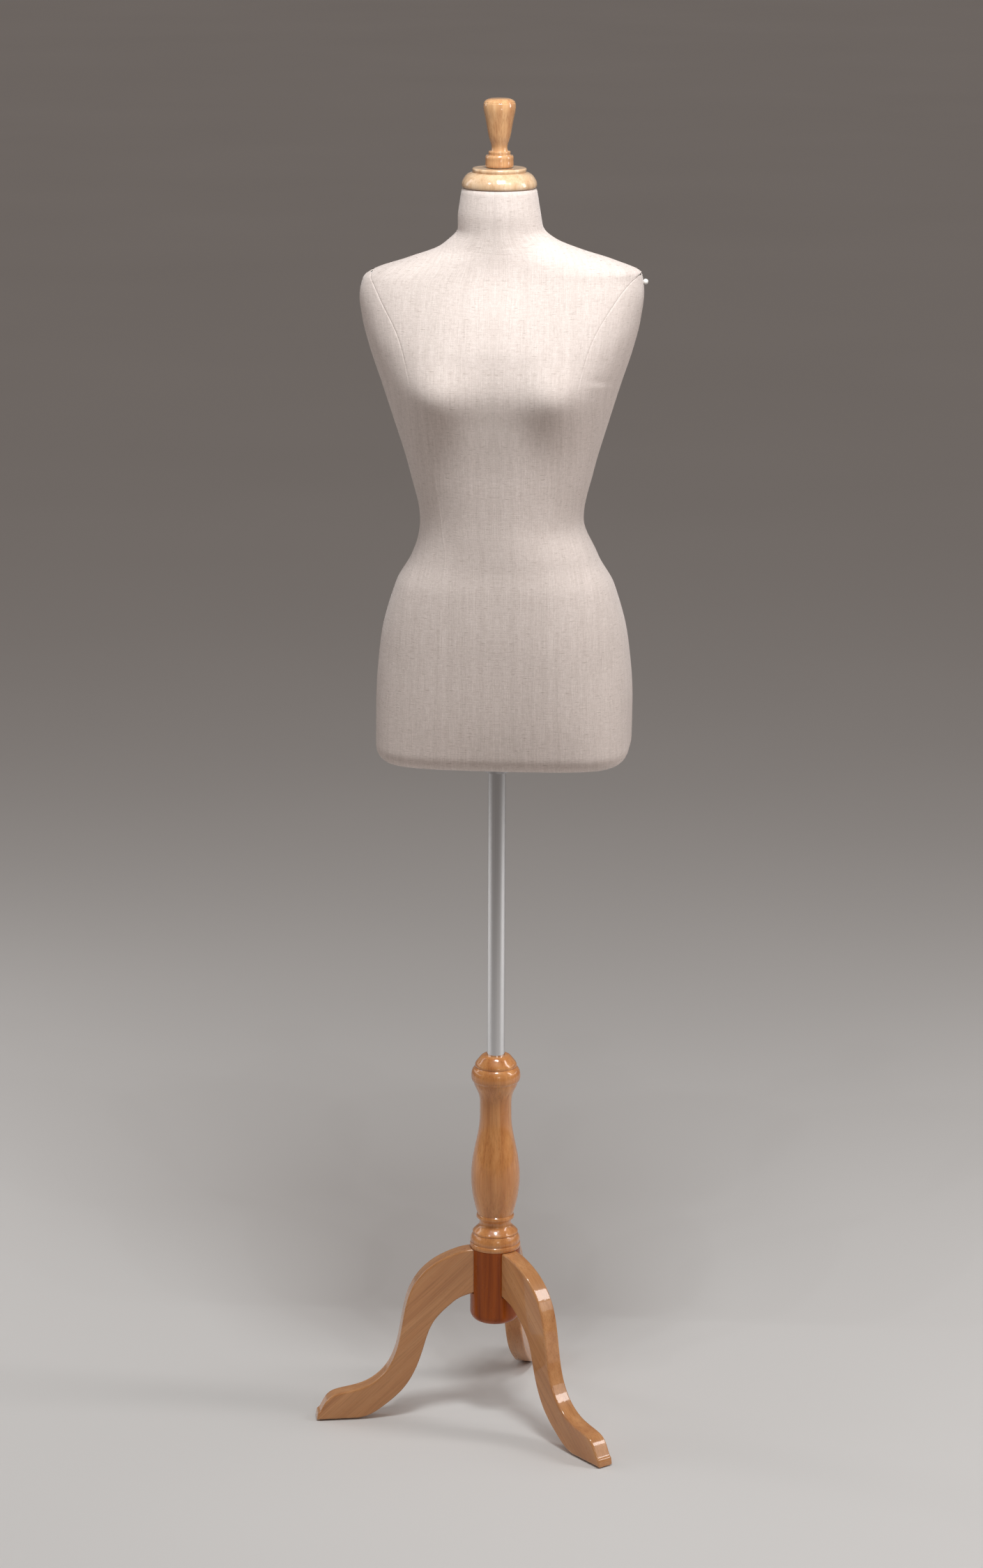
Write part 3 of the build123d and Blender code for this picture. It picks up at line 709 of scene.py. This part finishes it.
LINEN_DARK = (0.575, 0.49, 0.45)
LINEN = (0.68, 0.595, 0.555)
LINEN_LIGHT = (0.76, 0.675, 0.635)
HONEY = ((0.50, 0.185, 0.052), (0.63, 0.270, 0.088), (0.74, 0.36, 0.135))
LEG = ((0.47, 0.200, 0.074), (0.55, 0.258, 0.100), (0.62, 0.315, 0.135))
PALE = ((0.52, 0.32, 0.18), (0.62, 0.43, 0.27), (0.70, 0.53, 0.37))
KNOB = ((0.43, 0.21, 0.095), (0.57, 0.32, 0.155), (0.68, 0.43, 0.24))
DARK = ((0.22, 0.040, 0.002), (0.33, 0.070, 0.005), (0.42, 0.105, 0.010))
BARE = ((0.55, 0.38, 0.20), (0.66, 0.49, 0.29), (0.74, 0.58, 0.38))
LEG_TURNS = {"back": 81.0, "right": 192.0, "left": 312.0}
LEG_LEAN = 133.0
STEEL_NODES = ("pole_foot_insert", "draw_bolt", "draw_washer", "socket_flange", "socket_screws")


def dress_nodes():
    """Gives every CAD node that stays its material."""
    looks = {
        ("column",): wood("wood_column", *HONEY),
        ("hub",): wood("wood_hub", *DARK, coat=0.15, seed=3.0),
        ("neck_cap",): wood("wood_cap", *PALE, seed=5.0),
        ("finial",): wood("wood_finial", *KNOB, seed=8.0),
        ("neck_block", "leg_dowels"): wood("wood_bare", *BARE, gloss=0.5, coat=0.0),
        ("base_board",): wood("plywood", *BARE, lean=math.radians(90), gloss=0.5, coat=0.0),
        ("pole",): metal("chrome", (0.70, 0.70, 0.71), 0.07, 0.03, (900, 900, 4)),
        STEEL_NODES: metal("steel", (0.60, 0.60, 0.61), 0.3),
        ("finial_stud", "clamp_screw"): metal("screw_steel", (0.62, 0.61, 0.60), 0.25),
        ("neck_insert",): metal("brass", (0.75, 0.56, 0.25), 0.22),
        ("pole_top_plug", "clamp_knob"): plastic("black_plastic", (0.03, 0.03, 0.03), 0.4),
        ("pole_bush", "clamp_pad"): plastic("nylon", (0.80, 0.78, 0.72), 0.35),
        ("body_shell",): plastic("moulded_shell", (0.76, 0.74, 0.69), 0.6, 200.0),
        ("shoulder_pin",): plastic("pin_head", (0.86, 0.84, 0.80), 0.12, 400.0, 0.02),
        ("finial_washer",) + tuple(f"foot_glide_{k}" for k in LEG_TURNS): felt("felt", (0.25, 0.18, 0.12)),
        ("wadding_layer",): felt("wadding", (0.86, 0.85, 0.80)),
    }
    for index, (side, turn) in enumerate(LEG_TURNS.items()):
        looks[(f"leg_{side}",)] = wood(
            f"wood_leg_{side}", *LEG, turn=math.radians(turn), lean=math.radians(LEG_LEAN), seed=11.0 + index
        )
    for names, material in looks.items():
        for name in names:
            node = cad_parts[name]
            node.data.materials.clear()
            node.data.materials.append(material)
    return {name: material for names, material in looks.items() for name in names}


# ---------- Stage ----------


def make_camera():
    data = bpy.data.cameras.new("camera")
    data.lens = CAMERA_LENS
    data.sensor_fit = "VERTICAL"
    data.sensor_height = SENSOR
    data.clip_end = 50.0
    camera = bpy.data.objects.new("camera", data)
    turn = math.radians(CAMERA_AZIMUTH)
    away = Vector((math.sin(turn), -math.cos(turn), 0))
    left = Vector((-math.cos(turn), -math.sin(turn), 0))
    camera.location = away * CAMERA_DISTANCE + left * CAMERA_LEFT + Vector((0, 0, CAMERA_HEIGHT))
    look = Euler((math.radians(90 - CAMERA_PITCH), 0, turn)).to_matrix()
    roll = Matrix.Rotation(math.radians(CAMERA_ROLL), 3, "Z")
    camera.rotation_euler = (look @ roll).to_euler()
    bpy.context.scene.collection.objects.link(camera)
    bpy.context.scene.camera = camera


def area_light(name, place, target, size, power, colour):
    data = bpy.data.lights.new(name, "AREA")
    data.shape = "RECTANGLE"
    data.size, data.size_y = size
    data.energy = power
    data.color = colour
    light = bpy.data.objects.new(name, data)
    light.location = place
    light.rotation_euler = (Vector(target) - Vector(place)).to_track_quat("-Z", "Y").to_euler()
    bpy.context.scene.collection.objects.link(light)


def make_floor():
    corners = [(x * FLOOR_REACH, y * FLOOR_REACH, 0) for x, y in ((-1, -1), (1, -1), (1, 1), (-1, 1))]
    mesh = bpy.data.meshes.new("floor")
    mesh.from_pydata(corners, [], [(0, 1, 2, 3)])
    mesh.materials.append(floor_material())
    floor = bpy.data.objects.new("floor", mesh)
    bpy.context.scene.collection.objects.link(floor)


def make_light():
    world = bpy.data.worlds.new("studio")
    world.use_nodes = True
    background = world.node_tree.nodes["Background"]
    background.inputs["Color"].default_value = WORLD_COLOUR
    background.inputs["Strength"].default_value = WORLD_STRENGTH
    bpy.context.scene.world = world
    bpy.context.scene.view_settings.view_transform = "Standard"
    for name, light in LIGHTS.items():
        area_light(name, *light)
    for i in range(LAMPS):
        place = ((i - (LAMPS - 1) / 2) * LAMP_SPACING, *LAMP_PLACE)
        area_light(f"lamp_{i}", place, LAMP_TARGET, LAMP_SIZE, LAMP_POWER, LAMP_COLOUR)


# ---------- Build ----------

make_camera()
make_floor()
make_light()
looks = dress_nodes()
cloth = linen()
for name, node, outer, inner in LAYERS:
    piece = layer(name, outer, inner)
    piece.data.materials.append(looks[node])
    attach(piece, "torso")
    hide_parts(node)
for piece, node in linen_panels() + [(neck_band(), "linen_neck_band"), (underside(), "linen_underside")]:
    piece.data.materials.append(cloth)
    thicken(piece, CLOTH * MM)
    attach(piece, "torso")
    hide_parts(node)
